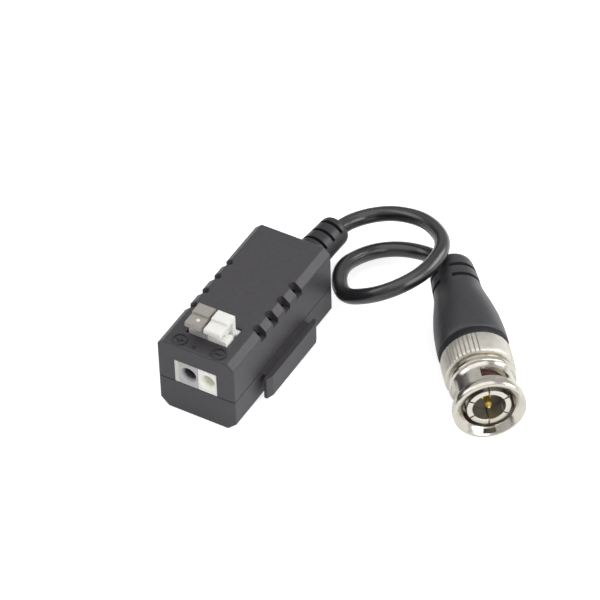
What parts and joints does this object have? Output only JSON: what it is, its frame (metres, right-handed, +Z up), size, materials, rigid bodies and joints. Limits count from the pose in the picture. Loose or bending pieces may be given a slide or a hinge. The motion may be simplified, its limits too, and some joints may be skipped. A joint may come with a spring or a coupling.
{
  "type": "video balun",
  "caption": "Passive video balun: dark case with two push-lever wire clamps at one end and a looped coaxial pigtail with booted bayonet plug at the other.",
  "frame": {"origin": "centre of the flat underside of the case", "axes": "+Z up out of the underside, +Y along the case towards the cable end, +X towards the side with the joining rail"},
  "size_m": [0.067, 0.0631, 0.0224],
  "materials": {
    "case_plastic": "fine satin, dark grey",
    "gray_plastic": "smooth, warm grey",
    "white_plastic": "smooth, white",
    "board": "green lacquered glass-epoxy",
    "screw_steel": "zinc plated",
    "ferrite": "coated ferrite, dark grey",
    "copper_wire": "enamelled copper",
    "tube_body": "ceramic body with plated ends",
    "film_case": "dipped, reddish brown",
    "spring_steel": "bright spring steel",
    "tinned_brass": "tin plated",
    "black_rubber": "satin black, moulded",
    "cable_jacket": "glossy black, soft",
    "nickel": "warm satin nickel plate",
    "dark_insulator": "dark translucent insulator",
    "gold": "gold plated",
    "red_rubber": "dark red silicone",
    "boot_rubber": "satin dark grey, moulded"
  },
  "bodies": {
    "housing": {"upper_case": "case_plastic", "lower_case": "case_plastic", "circuit_board": "board", "screw_front": "screw_steel", "screw_back": "screw_steel", "transformer_core": "ferrite", "transformer_winding": "copper_wire", "surge_tube": "tube_body", "film_capacitor": "film_case", "block_gray": "gray_plastic", "block_white": "white_plastic", "end_plate": "white_plastic", "contact_gray": "tinned_brass", "contact_white": "tinned_brass", "strain_relief": "black_rubber", "cable_stub": "cable_jacket", "cable": "cable_jacket", "cable_tail": "cable_jacket", "plug_body": "nickel", "dielectric": "dark_insulator", "centre_pin": "gold", "gasket": "red_rubber", "wave_washer": "spring_steel", "retaining_ring": "spring_steel", "crimp_ferrule": "nickel", "boot": "boot_rubber"},
    "lever_gray_arm": {"lever_gray": "gray_plastic"},
    "lever_white_arm": {"lever_white": "white_plastic"},
    "clamp_gray_leaf": {"clamp_gray": "spring_steel"},
    "clamp_white_leaf": {"clamp_white": "spring_steel"},
    "thrust_ring": {"thrust_washer": "spring_steel"},
    "nut": {"coupling_nut": "nickel"}
  },
  "joints": [
    {"name": "lever_gray_press", "type": "hinge", "parent": "housing", "child": "lever_gray_arm", "pos_m": [-0.00176, -0.01115, 0.0166], "axis": [1, 0, 0], "range_deg": [0, 10], "stiffness_Nm_per_rad": 0.002, "springref_deg": -5.73},
    {"name": "lever_white_press", "type": "hinge", "parent": "housing", "child": "lever_white_arm", "pos_m": [0.00251, -0.01115, 0.0166], "axis": [1, 0, 0], "range_deg": [0, 10], "stiffness_Nm_per_rad": 0.002, "springref_deg": -5.73},
    {"name": "clamp_gray_flex", "type": "hinge", "parent": "housing", "child": "clamp_gray_leaf", "pos_m": [-0.00176, -0.01095, 0.0131], "axis": [1, 0, 0], "range_deg": [0, 16]},
    {"name": "clamp_white_flex", "type": "hinge", "parent": "housing", "child": "clamp_white_leaf", "pos_m": [0.00251, -0.01095, 0.0131], "axis": [1, 0, 0], "range_deg": [0, 16]},
    {"name": "nut_pull", "type": "slide", "parent": "housing", "child": "thrust_ring", "axis": [0.6293, -0.7771, 0], "range_m": [0, 0.0005], "stiffness_N_per_m": 2500, "springref_m": -0.0002, "deforming": ["wave_washer"]},
    {"name": "nut_turn", "type": "hinge", "parent": "thrust_ring", "child": "nut", "pos_m": [0.048, 0.00905, 0.00725], "axis": [0.6293, -0.7771, 0], "continuous": true}
  ],
  "couplings": [
    {"joint": "clamp_gray_flex", "follows": "lever_gray_press", "ratio": 0.8},
    {"joint": "clamp_white_flex", "follows": "lever_white_press", "ratio": 0.8}
  ]
}
